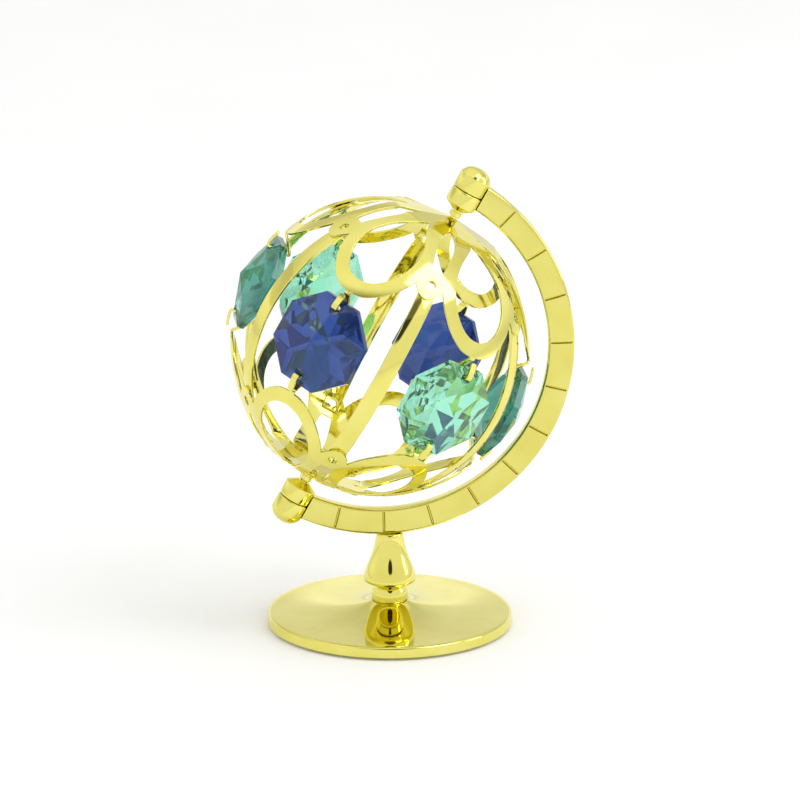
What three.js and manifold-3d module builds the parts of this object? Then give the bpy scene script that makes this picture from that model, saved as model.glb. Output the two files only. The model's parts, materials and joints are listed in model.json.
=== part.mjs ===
// Small desktop globe: an openwork brass ball with six faceted glass beads,
// turning on a tilted axis between the hubs of a half-circle arm on a stem and base.
// Millimetres, +Z up. The origin is the centre of the base, on the table.
// The arm lies in the XZ plane, and +X is the side that it bulges to.
import * as THREE from 'three';
import { mergeVertices } from 'three/addons/utils/BufferGeometryUtils.js';
import { ConvexGeometry } from 'three/addons/geometries/ConvexGeometry.js';
import { TessellateModifier } from 'three/addons/modifiers/TessellateModifier.js';
import Module from 'manifold-3d';

const wasm = await Module();
wasm.setup();

// ---- driving dimensions -------------------------------------------------------------
const GAP = 0.25;                 // air between pieces that touch on the real object

const BASE_R = 18.7;
const RIM_FOOT = 0.35;            // the rim stands just clear of the table, on the pad
const RIM_TOP = 2.0;
const PAD_R = 17.6;
const PAD_T = 0.9;
const FLARE_R = 9.0;              // where the base begins to rise to the stem
const FLARE_TOP = 3.7;
const KNOB_R = 2.75;
const KNOB_Z = 4.5;               // centre of the stem's round knob
const KNOB_FLAT = 0.62;           // its flats lie this far from the centre, in radii
const CONE_R = 4.0;
const CONE_Z = 6.55;              // underside of the bell-shaped cone
const SCREW_R = 0.9;
const SCREW_HEAD_R = 2.2;

const GLOBE = { x: -1.4, z: 43.6 };          // centre of the ball and of the arm
const TILT = THREE.MathUtils.degToRad(29);   // the axis leans towards +X at the top
const BALL_R = 22.6;              // outer surface of the domed sheets
const SHEET_T = 0.4;
const PETALS = 6;
const FIRST_BEAD = THREE.MathUtils.degToRad(-2.5);

const ARM_OUTER_R = 29.25;
const ARM_W = 3.95;               // radial width
const ARM_T = 2.25;               // thickness along Y
const TICKS = 11;
const TICK_W = 0.3;
const TICK_DEPTH = 0.16;

const HUB_R = 2.45;
const HUB_IN = 24.75;             // distances along the axis from the ball's centre
const HUB_GROOVE = 27.1;
const HUB_OUT = 29.5;
const HUB_TIP = 31.05;
const NOSE_TIP = 23.85;
const NOSE_R = 1.0;
const PIN_R = 0.5;
const PIN_COLLAR_R = 0.95;
const PIN_HEAD_R = 1.25;

const RIB_W = 2.6;
const RIB_END = THREE.MathUtils.degToRad(44.5);

const BEAD_ACROSS = 14;           // across the flats of the octagon
const BEAD_HALF_T = 3.4;
const BEAD_EDGE = 0.5;            // half the thickness at the girdle
const BEAD_R = 20.55;             // distance of the bead's centre from the axis
const BEAD_HOLE_R = 0.8;
const BEAD_HOLE_Y = 5.5;          // holes above and below the bead's centre
const BEAD_TURN = THREE.MathUtils.degToRad(8);   // the teal beads rest turned on their wires

const PRONG_W = 0.95;
const PRONG_T = 0.35;

// ---- materials ----------------------------------------------------------------------
const gold = () => new THREE.MeshStandardMaterial({ color: 0xe6d873, roughness: 0.18, metalness: 1 });
const steel = () => new THREE.MeshStandardMaterial({ color: 0xb8bcc0, roughness: 0.35, metalness: 1 });
const felt = () => new THREE.MeshStandardMaterial({ color: 0x1d1d20, roughness: 0.95, metalness: 0 });
const glass = (color) => new THREE.MeshStandardMaterial({ color, roughness: 0.05, metalness: 0 });
const BEAD_COLOURS = [
  ['teal', 0x4f9c8c], ['blue', 0x3f5296], ['green', 0x84dcb8],
];

// ---- solids -------------------------------------------------------------------------
function toSolid(geometry) {
  const bare = geometry.clone();
  bare.deleteAttribute('normal');
  bare.deleteAttribute('uv');
  const merged = mergeVertices(bare, 1e-4);
  return new wasm.Manifold(new wasm.Mesh({
    numProp: 3,
    vertProperties: new Float32Array(merged.attributes.position.array),
    triVerts: new Uint32Array(merged.index.array),
  }));
}

function toGeometry(solid) {
  const mesh = solid.getMesh();
  const geometry = new THREE.BufferGeometry();
  geometry.setAttribute('position', new THREE.BufferAttribute(new Float32Array(mesh.vertProperties), 3));
  geometry.setIndex(new THREE.BufferAttribute(new Uint32Array(mesh.triVerts), 1));
  geometry.computeVertexNormals();
  return geometry;
}

const join = (first, others) => toGeometry(others.reduce((sum, g) => sum.add(toSolid(g)), toSolid(first)));
const cut = (first, others) => toGeometry(others.reduce((rest, g) => rest.subtract(toSolid(g)), toSolid(first)));

// A turned piece about +Z; the profile is a list of [radius, height].
function turned(profile, segments = 48) {
  const points = profile.map(([r, z]) => new THREE.Vector2(r, z));
  return new THREE.LatheGeometry(points, segments).rotateX(Math.PI / 2);
}

function rod(radius, z0, z1, segments = 24) {
  return new THREE.CylinderGeometry(radius, radius, z1 - z0, segments)
    .rotateX(Math.PI / 2)
    .translate(0, 0, (z0 + z1) / 2);
}

// ---- stand --------------------------------------------------------------------------
function feltPad() {
  return rod(PAD_R, 0, PAD_T, 64);
}

function flareCurve() {
  const rise = new THREE.CubicBezierCurve(
    new THREE.Vector2(FLARE_R, RIM_TOP + 0.12),
    new THREE.Vector2(6.2, RIM_TOP + 0.3),
    new THREE.Vector2(4.3, FLARE_TOP - 1.0),
    new THREE.Vector2(3.1, FLARE_TOP),
  );
  return rise.getPoints(5).map((p) => [p.x, p.y]);
}

// The knob sits in a shallow dish on top of the plate.
function dishCurve() {
  const radius = KNOB_R + GAP;
  const lip = Math.asin((FLARE_TOP - KNOB_Z) / radius);
  const floor = -Math.asin(KNOB_FLAT + 0.03);
  return [0, 0.5, 1].map((t) => {
    const angle = lip + (floor - lip) * t;
    return [radius * Math.cos(angle), KNOB_Z + radius * Math.sin(angle)];
  });
}

function basePlate() {
  const recess = PAD_T + GAP;
  const seat = KNOB_Z - KNOB_R * KNOB_FLAT - GAP;
  return turned([
    [SCREW_R + GAP, recess + 0.55],
    [SCREW_HEAD_R + GAP, recess + 0.55],
    [SCREW_HEAD_R + GAP, recess],
    [PAD_R + GAP, recess],
    [PAD_R + GAP, RIM_FOOT],
    [BASE_R - 0.1, RIM_FOOT],
    [BASE_R, RIM_FOOT + 0.15],
    [BASE_R - 0.12, RIM_TOP - 0.3],
    [BASE_R - 0.25, RIM_TOP - 0.08],
    [BASE_R - 0.55, RIM_TOP],
    ...flareCurve(),
    ...dishCurve(),
    [SCREW_R + GAP, seat],
    [SCREW_R + GAP, recess + 0.55],
  ], 48);
}

function baseScrew() {
  const under = PAD_T + GAP;
  return turned([
    [0, under],
    [SCREW_HEAD_R, under],
    [SCREW_HEAD_R, under + 0.3],
    [SCREW_R, under + 0.3],
    [SCREW_R, CONE_Z + 4.2],
    [0, CONE_Z + 4.2],
  ], 24);
}

// A ball with a bore for the screw, flattened where the cone stands on it.
function stemKnob() {
  const foot = -Math.asin(KNOB_FLAT);
  const head = Math.asin(KNOB_FLAT);
  const steps = 8;
  const profile = [];
  for (let i = 0; i <= steps; i += 1) {
    const a = foot + ((head - foot) * i) / steps;
    profile.push([KNOB_R * Math.cos(a), KNOB_Z + KNOB_R * Math.sin(a)]);
  }
  const bore = SCREW_R + GAP;
  const z0 = profile[0][1];
  const z1 = profile[steps][1];
  return turned([[bore, z0], ...profile, [bore, z1], [bore, z0]], 28);
}

function armFootZ() {
  return GLOBE.z - Math.sqrt(ARM_OUTER_R ** 2 - GLOBE.x ** 2);
}

function stemCone() {
  const top = armFootZ() - GAP;
  const side = new THREE.CubicBezierCurve(
    new THREE.Vector2(CONE_R, CONE_Z + 0.95),
    new THREE.Vector2(3.1, CONE_Z + 2.6),
    new THREE.Vector2(2.35, top - 2.4),
    new THREE.Vector2(2.05, top),
  );
  const bore = SCREW_R + GAP;
  const boreTop = CONE_Z + 4.2 + GAP;
  return turned([
    [bore, CONE_Z],
    [2.1, CONE_Z],
    [CONE_R - 0.75, CONE_Z + 0.12],
    [CONE_R - 0.12, CONE_Z + 0.5],
    ...side.getPoints(6).map((p) => [p.x, p.y]),
    [0, top],
    [0, boreTop],
    [bore, boreTop],
    [bore, CONE_Z],
  ], 30);
}

// ---- arm ----------------------------------------------------------------------------
// A half ring of rectangular bar with broken edges. Its ends butt against the hubs.
function armBar() {
  const inner = ARM_OUTER_R - ARM_W;
  const chamfer = 0.3;
  const half = ARM_T / 2;
  const section = [
    [inner, -half + chamfer],
    [inner + chamfer, -half],
    [ARM_OUTER_R - chamfer, -half],
    [ARM_OUTER_R, -half + chamfer],
    [ARM_OUTER_R, half - chamfer],
    [ARM_OUTER_R - chamfer, half],
    [inner + chamfer, half],
    [inner, half - chamfer],
  ].map(([r, y]) => new THREE.Vector2(r, y));
  section.push(section[0].clone());
  const ring = new THREE.LatheGeometry(section, 120);
  const hubSide = HUB_R + GAP;
  const reach = ARM_OUTER_R + 4;
  const awayHalf = new THREE.BoxGeometry(reach, ARM_T * 2, reach * 2.4)
    .translate(-reach / 2 + hubSide, 0, 0);
  return toSolid(ring).subtract(toSolid(awayHalf));
}

// One engraved tick: a shallow round-ended slot across the face, 15 degrees apart.
function tickCutters() {
  const length = ARM_W - 0.9;
  const middle = ARM_OUTER_R - ARM_W / 2;
  const cutters = [];
  for (let i = 1; i <= TICKS; i += 1) {
    const angle = (Math.PI * i) / (TICKS + 1) - Math.PI / 2;
    for (const side of [-1, 1]) {
      const slot = new THREE.BoxGeometry(length, TICK_DEPTH * 2, TICK_W)
        .translate(middle, (side * ARM_T) / 2, 0)
        .rotateY(-angle);
      cutters.push(slot);
    }
  }
  return cutters;
}

// The arm's own frame has the hub axis along Z; the returned piece is turned to the tilt.
function meridianArm() {
  const bar = tickCutters().reduce((rest, g) => rest.subtract(toSolid(g)), armBar());
  return toGeometry(bar);
}

// ---- hubs and pins, drawn for the upper end, axis along Z, heights from the ball's centre
function hubBody() {
  const bore = PIN_R + GAP;
  const boreTop = 25.9;
  const spigotZ = HUB_GROOVE - 0.75;
  return turned([
    [bore, NOSE_TIP],
    [NOSE_R, NOSE_TIP],
    [NOSE_R + 0.12, NOSE_TIP + 0.12],
    [HUB_R - 0.2, HUB_IN - 0.08],
    [HUB_R, HUB_IN + 0.12],
    [HUB_R, HUB_GROOVE - 0.28],
    [HUB_R - 0.2, HUB_GROOVE - GAP / 2],
    [1.3, HUB_GROOVE - GAP / 2],
    [1.3, spigotZ],
    [0, spigotZ],
    [0, boreTop],
    [bore, boreTop],
    [bore, NOSE_TIP],
  ], 30);
}

function hubCap() {
  const z0 = HUB_GROOVE + GAP / 2;
  return turned([
    [0, HUB_GROOVE - 0.5],
    [1.05, HUB_GROOVE - 0.5],
    [1.05, z0],
    [HUB_R - 0.2, z0],
    [HUB_R, z0 + 0.2],
    [HUB_R, HUB_OUT - 0.15],
    [HUB_R - 0.12, HUB_OUT],
    [0.75, HUB_TIP - 0.22],
    [0.35, HUB_TIP - 0.05],
    [0, HUB_TIP],
  ], 30);
}

function pivotPin() {
  const inside = BALL_R - SHEET_T - GAP;
  const outside = BALL_R + GAP;
  return turned([
    [0, inside - 0.5],
    [PIN_HEAD_R - 0.3, inside - 0.5],
    [PIN_HEAD_R, inside - 0.2],
    [PIN_HEAD_R, inside],
    [PIN_R, inside],
    [PIN_R, outside],
    [PIN_COLLAR_R, outside],
    [PIN_COLLAR_R, NOSE_TIP - GAP],
    [PIN_R, NOSE_TIP - GAP],
    [PIN_R, 25.9 - GAP],
    [0, 25.9 - GAP],
  ], 24);
}

// ---- flowers ------------------------------------------------------------------------
// Each flower is one sheet: a flat blank, cut out, then domed over the ball.
// On the blank, distances from the middle are arc lengths on the ball.
const PETAL_TIP = 26.5;
const PETAL_WIDE = 17.8;          // distance from the middle to a petal's widest place
const OPENING_HALF_W = 5.2;
const BAND_W = 2.3;
const TAB_AT = BALL_R * THREE.MathUtils.degToRad(48);
const TAB_R = 2.5;
const TAB_SWEEP = THREE.MathUtils.degToRad(81.6);
const TAB_HOLE_R = 0.75;
const PIN_HOLE_R = PIN_R + GAP;
const SECTOR = (2 * Math.PI) / PETALS;

// Gives a function that turns a point of one petal's frame into the blank's frame.
function turnedBy(angle) {
  const c = Math.cos(angle);
  const s = Math.sin(angle);
  return (x, y) => [c * x - s * y, s * x + c * y];
}

function tabCorner(side) {
  const angle = (side * SECTOR) / 2 - side * TAB_SWEEP;
  return [
    TAB_AT * Math.cos(SECTOR / 2) + TAB_R * Math.cos(angle),
    side * TAB_AT * Math.sin(SECTOR / 2) + TAB_R * Math.sin(angle),
  ];
}

function blankOutline() {
  const outline = new THREE.Shape();
  for (let i = 0; i < PETALS; i += 1) {
    const at = turnedBy(FIRST_BEAD + i * SECTOR);
    const [x, y] = tabCorner(1);
    if (i === 0) {
      outline.moveTo(...at(x, -y));
    }
    const bulge = (PETAL_TIP + PETAL_WIDE) / 2;
    outline.bezierCurveTo(...at(bulge, -y), ...at(PETAL_TIP, -4.4), ...at(PETAL_TIP, 0));
    outline.bezierCurveTo(...at(PETAL_TIP, 4.4), ...at(bulge, y), ...at(x, y));
    const middle = FIRST_BEAD + (i + 0.5) * SECTOR;
    const tab = [TAB_AT * Math.cos(middle), TAB_AT * Math.sin(middle)];
    outline.absarc(...tab, TAB_R, middle - TAB_SWEEP, middle + TAB_SWEEP, false);
  }
  return outline;
}

function petalOpening(angle) {
  const at = turnedBy(angle);
  const start = 7.0;
  const end = PETAL_TIP - BAND_W;
  const h = OPENING_HALF_W;
  const hole = new THREE.Path();
  hole.moveTo(...at(start, 0));
  hole.bezierCurveTo(...at(start + 3.3, 1.0), ...at(13, h), ...at(PETAL_WIDE, h));
  hole.bezierCurveTo(...at(21.2, h), ...at(end, 3.2), ...at(end, 0));
  hole.bezierCurveTo(...at(end, -3.2), ...at(21.2, -h), ...at(PETAL_WIDE, -h));
  hole.bezierCurveTo(...at(13, -h), ...at(start + 3.3, -1.0), ...at(start, 0));
  return hole;
}

function slotBetweenPetals(angle) {
  const at = turnedBy(angle);
  const wide = 1.4;
  const endX = TAB_AT - 2.45;
  const endHalf = 0.93;
  const hole = new THREE.Path();
  hole.moveTo(...at(5.7, 0));
  hole.bezierCurveTo(...at(8, 0.9), ...at(9.5, wide), ...at(11.5, wide));
  hole.bezierCurveTo(...at(13.5, wide), ...at(15.3, 1.2), ...at(endX, endHalf));
  hole.lineTo(...at(endX, -endHalf));
  hole.bezierCurveTo(...at(15.3, -1.2), ...at(13.5, -wide), ...at(11.5, -wide));
  hole.bezierCurveTo(...at(9.5, -wide), ...at(8, -0.9), ...at(5.7, 0));
  return hole;
}

function roundHole(x, y, radius) {
  const hole = new THREE.Path();
  hole.absarc(x, y, radius, 0, 2 * Math.PI, true);
  return hole;
}

function flatBlank() {
  const outline = blankOutline();
  outline.holes.push(roundHole(0, 0, PIN_HOLE_R));
  for (let i = 0; i < PETALS; i += 1) {
    const petal = FIRST_BEAD + i * SECTOR;
    const between = petal + SECTOR / 2;
    outline.holes.push(petalOpening(petal));
    outline.holes.push(slotBetweenPetals(between));
    outline.holes.push(roundHole(TAB_AT * Math.cos(between), TAB_AT * Math.sin(between), TAB_HOLE_R));
  }
  return new THREE.ExtrudeGeometry(outline, { depth: SHEET_T, bevelEnabled: false, curveSegments: 4 });
}

// Bends a flat sheet (thickness along Z) over the ball, the middle at the pole.
function domed(sheet) {
  const position = sheet.attributes.position;
  for (let i = 0; i < position.count; i += 1) {
    const x = position.getX(i);
    const y = position.getY(i);
    const radius = BALL_R - SHEET_T + position.getZ(i);
    const arc = Math.hypot(x, y);
    const polar = arc / BALL_R;
    const scale = arc > 0 ? (radius * Math.sin(polar)) / arc : 1;
    position.setXYZ(i, x * scale, y * scale, radius * Math.cos(polar));
  }
  return sheet;
}

// A strip of sheet seen from its edge: the outline of a centre line with some thickness.
function edgeOutline(centre, thickness) {
  const points = centre.map(([x, y]) => new THREE.Vector2(x, y));
  const left = [];
  const right = [];
  points.forEach((point, i) => {
    const before = points[Math.max(i - 1, 0)];
    const after = points[Math.min(i + 1, points.length - 1)];
    const d0 = point.clone().sub(before).normalize();
    const d1 = after.clone().sub(point).normalize();
    const along = i === 0 ? d1 : i === points.length - 1 ? d0 : d0.clone().add(d1).normalize();
    const turn = i === 0 || i === points.length - 1 ? 1 : Math.max(along.dot(d1), 0.5);
    const across = new THREE.Vector2(-along.y, along.x).multiplyScalar(thickness / 2 / turn);
    left.push(point.clone().add(across));
    right.push(point.clone().sub(across));
  });
  return new THREE.Shape([...left, ...right.reverse()]);
}

// A prong runs on from a petal's tip, behind the bead, out through the bead's hole
// and back up over the front. X is measured outwards from the bead's centre, Y upwards.
function prong() {
  const middle = BALL_R - SHEET_T / 2;
  const onSheet = [62.5, 65, 67].map((degrees) => {
    const polar = THREE.MathUtils.degToRad(degrees);
    return [middle * Math.sin(polar) - BEAD_R, middle * Math.cos(polar)];
  });
  const back = -1.85;
  const front = 1.85;
  const bend = 0.22;
  const line = [
    ...onSheet,
    [-0.05, 8.4],
    [-1.05, 7.1],
    [back + 0.04, 5.95],
    [back + 0.04, BEAD_HOLE_Y + bend],
    [back + bend, BEAD_HOLE_Y],
    [front - bend, BEAD_HOLE_Y],
    [front, BEAD_HOLE_Y + bend],
    [front - 0.25, 7.0],
    [front - 0.7, 8.3],
  ];
  return new THREE.ExtrudeGeometry(edgeOutline(line, PRONG_T), { depth: PRONG_W, bevelEnabled: false })
    .translate(BEAD_R, 0, -PRONG_W / 2)
    .rotateX(Math.PI / 2);
}

function flower() {
  const sheet = domed(new TessellateModifier(4, 12).modify(flatBlank()));
  const prongs = [];
  for (let i = 0; i < PETALS; i += 1) {
    prongs.push(prong().rotateZ(FIRST_BEAD + i * SECTOR));
  }
  return join(sheet, prongs);
}

// ---- ribs ---------------------------------------------------------------------------
// A flat strip bent along a meridian, its ends lying under the tabs of both flowers.
function rib() {
  const outside = BALL_R - SHEET_T - GAP;
  const span = Math.PI - 2 * RIB_END;
  const strip = new THREE.BoxGeometry(SHEET_T, RIB_W, span, 1, 2, 18);
  const position = strip.attributes.position;
  for (let i = 0; i < position.count; i += 1) {
    const radius = outside - SHEET_T / 2 + position.getX(i);
    const height = position.getZ(i);
    const side = position.getY(i) / outside;
    position.setXYZ(
      i,
      radius * Math.cos(height) * Math.cos(side),
      radius * Math.sin(side),
      radius * Math.sin(height) * Math.cos(side),
    );
  }
  return strip;
}

// ---- beads --------------------------------------------------------------------------
// An octagon with eight kites and eight edge triangles on each face, drilled twice.
// X is its thickness and Y and Z lie in its plane, two flats facing up and down.
function bead() {
  const corner = BEAD_ACROSS / 2 / Math.cos(Math.PI / 8);
  const ring = 4.6;
  const slope = (BEAD_HALF_T - BEAD_EDGE) / corner;
  const ringX = BEAD_HALF_T - slope * ring * Math.cos(Math.PI / 8);
  const points = [];
  for (const side of [-1, 1]) {
    points.push(new THREE.Vector3(side * BEAD_HALF_T, 0, 0));
    for (let i = 0; i < 8; i += 1) {
      const a = (i * Math.PI) / 4;
      const b = a + Math.PI / 8;
      points.push(new THREE.Vector3(side * ringX, ring * Math.cos(a), ring * Math.sin(a)));
      points.push(new THREE.Vector3(side * BEAD_EDGE, corner * Math.cos(b), corner * Math.sin(b)));
    }
  }
  const drills = [-1, 1].map((side) => new THREE.CylinderGeometry(BEAD_HOLE_R, BEAD_HOLE_R, 8, 16)
    .rotateZ(Math.PI / 2)
    .translate(0, 0, side * BEAD_HOLE_Y));
  return cut(new ConvexGeometry(points), drills);
}

// ---- assembly -----------------------------------------------------------------------
function mesh(name, geometry, material) {
  const piece = new THREE.Mesh(geometry, material);
  piece.name = name;
  return piece;
}

function stand() {
  const group = new THREE.Group();
  group.add(mesh('felt_pad', feltPad(), felt()));
  group.add(mesh('base_plate', basePlate(), gold()));
  group.add(mesh('base_screw', baseScrew(), steel()));
  group.add(mesh('stem_knob', stemKnob(), gold()));
  group.add(mesh('stem_cone', stemCone(), gold()));
  return group;
}

// Everything whose own axis is the ball's axis goes in one tilted group.
function tiltedGroup() {
  const group = new THREE.Group();
  group.position.set(GLOBE.x, 0, GLOBE.z);
  group.rotation.y = TILT;
  group.add(mesh('meridian_arm', meridianArm(), gold()));
  for (const [end, turn] of [['upper', 0], ['lower', Math.PI]]) {
    group.add(mesh(`${end}_hub_body`, hubBody().rotateX(turn), gold()));
    group.add(mesh(`${end}_hub_cap`, hubCap().rotateX(turn), gold()));
    group.add(mesh(`${end}_pivot_pin`, pivotPin().rotateX(turn), gold()));
  }
  return group;
}

function mirroredInZ(geometry) {
  const turned180 = geometry.clone().rotateX(Math.PI);
  return turned180.rotateZ(2 * FIRST_BEAD);
}

function ball() {
  const group = new THREE.Group();
  group.position.set(GLOBE.x, 0, GLOBE.z);
  group.rotation.y = TILT;
  const petals = flower();
  group.add(mesh('upper_flower', petals, gold()));
  group.add(mesh('lower_flower', mirroredInZ(petals), gold()));
  for (let i = 0; i < PETALS; i += 1) {
    const angle = FIRST_BEAD + i * SECTOR;
    group.add(mesh(`rib_${i + 1}`, rib().rotateZ(angle + SECTOR / 2), gold()));
    const [colour, hex] = BEAD_COLOURS[i % BEAD_COLOURS.length];
    const turn = colour === 'teal' ? BEAD_TURN : 0;
    const placed = bead().rotateZ(turn).translate(BEAD_R, 0, 0).rotateZ(angle);
    group.add(mesh(`bead_${i + 1}_${colour}`, placed, glass(hex)));
  }
  return group;
}

const globe = new THREE.Group();
globe.add(stand());
globe.add(tiltedGroup());
globe.add(ball());
export default globe;
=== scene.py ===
import json
import math
import bmesh
import bpy
from mathutils import Matrix, Vector


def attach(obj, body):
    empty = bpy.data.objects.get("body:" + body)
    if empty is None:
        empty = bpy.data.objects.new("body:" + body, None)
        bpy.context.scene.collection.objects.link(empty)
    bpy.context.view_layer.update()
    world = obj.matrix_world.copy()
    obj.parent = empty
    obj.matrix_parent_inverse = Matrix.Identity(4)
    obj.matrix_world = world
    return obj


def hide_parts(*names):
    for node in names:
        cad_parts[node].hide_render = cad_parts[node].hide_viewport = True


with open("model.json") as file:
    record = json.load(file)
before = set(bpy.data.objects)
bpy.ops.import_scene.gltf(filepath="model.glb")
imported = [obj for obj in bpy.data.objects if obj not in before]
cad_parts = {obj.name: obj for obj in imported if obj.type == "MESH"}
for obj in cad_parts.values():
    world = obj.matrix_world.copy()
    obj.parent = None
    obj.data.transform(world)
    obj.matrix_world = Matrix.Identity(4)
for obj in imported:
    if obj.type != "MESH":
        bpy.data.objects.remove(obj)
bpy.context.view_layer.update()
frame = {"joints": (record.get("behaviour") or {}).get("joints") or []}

# ---- sizes, in millimetres unless the name says otherwise -------------------------------
MM = 0.001
BALL_R = 22.6
SHEET_T = 0.4
PETALS = 6
SECTOR = 2 * math.pi / PETALS
FIRST_BEAD = math.radians(-2.5)

BASE_R = 18.7
RIM_FOOT = 0.35
RIM_TOP = 2.0
PAD_R = 17.6
RECESS_TOP = 1.15
FLARE_R = 9.0
FLARE_TOP = 3.7
KNOB_R = 2.75
KNOB_Z = 4.5
CONE_R = 4.0
CONE_Z = 6.55
BOLT_R = 0.9
BOLT_HEAD_R = 2.2
BOLT_TOP = 10.75

ARM_OUTER_R = 29.25
ARM_W = 3.95
ARM_T = 2.25
ARM_CROWN = 0.1
TICKS = 11
TICK_W = 0.38
TICK_LENGTH = ARM_W - 0.75
TICK_DEPTH = 0.48

# Hubs and pins, by their distance along the axis from the ball's centre.
HUB_R = 2.45
NOSE_R = 1.0
NOSE_TIP = 23.85
HUB_FOOT = 24.85
HUB_GROOVE = 27.1
CAP_SHOULDER = 29.5
CAP_TOP = 30.98
PIN_R = 0.5
PIN_HEAD_R = 1.25
PIN_END = 21.35
COLLAR_R = 0.95
COLLAR_FOOT = 22.86
PIN_TOP = 25.5

BEAD_ACROSS = 14.0
BEAD_HALF_T = 3.4
BEAD_EDGE = 0.5
BEAD_RING_R = 4.6
BEAD_R = 20.55
BEAD_HOLE_Y = 5.5
BEAD_HOLE_R = 0.8
BEAD_TURN = math.radians(8)

PETAL_TIP = 26.5
PETAL_WIDE = 17.8
OPENING_HALF_W = 5.2
BAND_W = 2.3
TAB_POLAR = math.radians(48)
TAB_AT = BALL_R * TAB_POLAR
TAB_R = 2.5
TAB_SWEEP = math.radians(81.6)
TAB_HOLE_R = 0.75
CREASE_AT = 8.7
CREASE_EASE = 0.5
PRONG_W = 0.95
PRONG_STEP = 0.24
SHEET_MERGE = 0.002
RIB_W = 2.6
RIB_CROWN = 0.1
RIB_START = math.radians(44.5)

spin_joint = next(j for j in frame["joints"] if j["name"] == "ball_spin")
BALL_CENTRE = Vector(spin_joint["pos_m"])
TILT = math.atan2(spin_joint["axis"][0], spin_joint["axis"][2])
ARM_FOOT_Z = BALL_CENTRE.z / MM - math.sqrt(ARM_OUTER_R ** 2 - (BALL_CENTRE.x / MM) ** 2)

# ---- the bench: selecting, turning, cutting ----------------------------------------------
def take_up(piece):
    if bpy.context.mode != "OBJECT":
        bpy.ops.object.mode_set(mode="OBJECT")
    bpy.ops.object.select_all(action="DESELECT")
    if piece is not None:
        piece.select_set(True)
        bpy.context.view_layer.objects.active = piece


def open_mesh(piece):
    take_up(piece)
    bpy.ops.object.mode_set(mode="EDIT")
    bpy.ops.mesh.select_all(action="SELECT")


def close_mesh():
    bpy.ops.object.mode_set(mode="OBJECT")


def named(name):
    piece = bpy.context.object
    piece.name = name
    piece.data.name = name
    return piece


def pick_faces(piece, wanted):
    bpy.ops.mesh.select_all(action="DESELECT")
    bpy.ops.mesh.select_mode(type="FACE")
    mesh = bmesh.from_edit_mesh(piece.data)
    for face in mesh.faces:
        face.select_set(bool(wanted(face.calc_center_median(), face.normal)))
    bmesh.update_edit_mesh(piece.data)


def tidy_surface(piece, smooth_degrees=35, merge=1e-7):
    open_mesh(piece)
    bpy.ops.mesh.remove_doubles(threshold=merge)
    bpy.ops.mesh.normals_make_consistent(inside=False)
    close_mesh()
    bpy.ops.object.shade_smooth_by_angle(angle=math.radians(smooth_degrees))


def even_shading(piece):
    """Lets the large faces rule the shading, so that small rounded edges read as such."""
    take_up(piece)
    bpy.ops.object.modifier_add(type="WEIGHTED_NORMAL")
    weighting = piece.modifiers[-1]
    weighting.mode = "FACE_AREA"
    weighting.weight = 100
    weighting.keep_sharp = True
    bpy.ops.object.modifier_apply(modifier=weighting.name)


def apply_bevel(piece, width, segments, angle_degrees):
    take_up(piece)
    bpy.ops.object.modifier_add(type="BEVEL")
    bevel = piece.modifiers[-1]
    bevel.width = width * MM
    bevel.segments = segments
    bevel.limit_method = "ANGLE"
    bevel.angle_limit = math.radians(angle_degrees)
    bpy.ops.object.modifier_apply(modifier=bevel.name)


def cut_away(piece, cutters):
    """Takes the joined cutters out of the piece."""
    take_up(cutters[0])
    for cutter in cutters:
        cutter.select_set(True)
    if len(cutters) > 1:
        bpy.ops.object.join()
    tool = bpy.context.object
    take_up(piece)
    bpy.ops.object.modifier_add(type="BOOLEAN")
    boolean = piece.modifiers[-1]
    boolean.operation = "DIFFERENCE"
    boolean.solver = "EXACT"
    boolean.object = tool
    bpy.ops.object.modifier_apply(modifier=boolean.name)
    bpy.data.objects.remove(tool)


def set_in_place(piece, place):
    """Puts the piece where it belongs and leaves its object at the origin, unturned."""
    take_up(piece)
    piece.matrix_world = place @ piece.matrix_world
    bpy.ops.object.transform_apply(location=True, rotation=True, scale=True)


def copy_of(piece, name):
    twin = piece.copy()
    twin.data = piece.data.copy()
    twin.name = name
    twin.data.name = name
    bpy.context.scene.collection.objects.link(twin)
    return twin


def bezier(p0, p1, p2, p3, steps):
    points = []
    for i in range(steps + 1):
        t = i / steps
        a, b, c, d = (1 - t) ** 3, 3 * t * (1 - t) ** 2, 3 * t * t * (1 - t), t ** 3
        points.append((a * p0[0] + b * p1[0] + c * p2[0] + d * p3[0],
                       a * p0[1] + b * p1[1] + c * p2[1] + d * p3[1]))
    return points


def arc(centre_r, centre_z, radius, start, end, steps):
    points = []
    for i in range(steps + 1):
        a = math.radians(start + (end - start) * i / steps)
        points.append((centre_r + radius * math.cos(a), centre_z + radius * math.sin(a)))
    return points


def draw_out(profile):
    """Extrudes the picked round face on through each (radius, height) of the profile."""
    r_now, z_now = profile[0]
    for r, z in profile[1:]:
        bpy.ops.mesh.extrude_region_move(TRANSFORM_OT_translate={"value": (0, 0, (z - z_now) * MM)})
        if r < 1e-6:
            bpy.ops.mesh.merge(type="CENTER")
            return
        k = r / r_now
        bpy.ops.transform.resize(value=(k, k, 1), center_override=(0, 0, z * MM))
        r_now, z_now = r, z


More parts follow.
